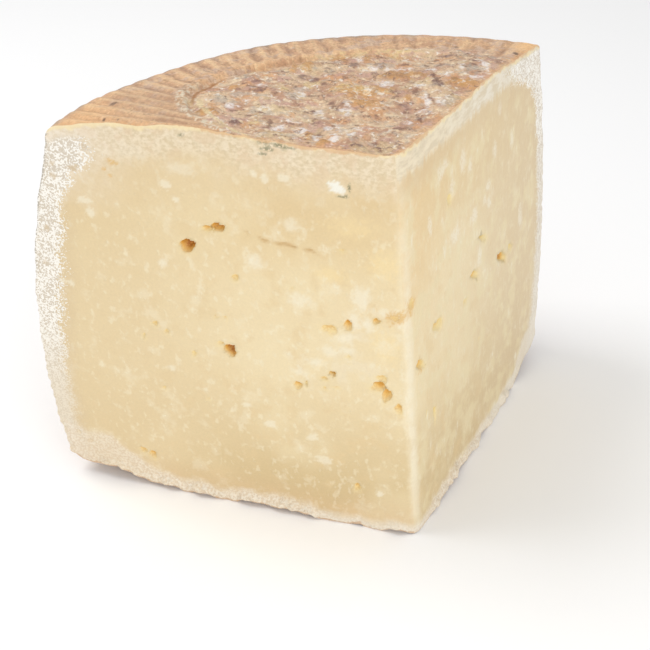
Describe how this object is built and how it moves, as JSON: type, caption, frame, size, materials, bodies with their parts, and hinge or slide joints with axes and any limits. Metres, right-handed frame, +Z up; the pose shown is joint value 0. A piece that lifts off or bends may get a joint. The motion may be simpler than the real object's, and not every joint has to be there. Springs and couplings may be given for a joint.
{
  "type": "aged sheep's milk cheese wedge",
  "caption": "Wedge, a little more than a quarter, of an aged hard sheep's milk cheese wheel with eyes, two cut faces and a fluted, flaky brown crust.",
  "frame": {"origin": "middle of the bounding box at the base, on the flat foot of the wedge", "axes": "+Z up out of the foot along the wheel's axis; the cut near edge points to -Y, the wider left cut face to -X and -Y, the crust side to +Y"},
  "size_m": [0.17, 0.1208, 0.1293],
  "materials": {
    "cheese": "satin pale straw paste with a matt tan and chalky white crust"
  },
  "bodies": {
    "root": {"cheese_wedge": "cheese"}
  },
  "joints": []
}
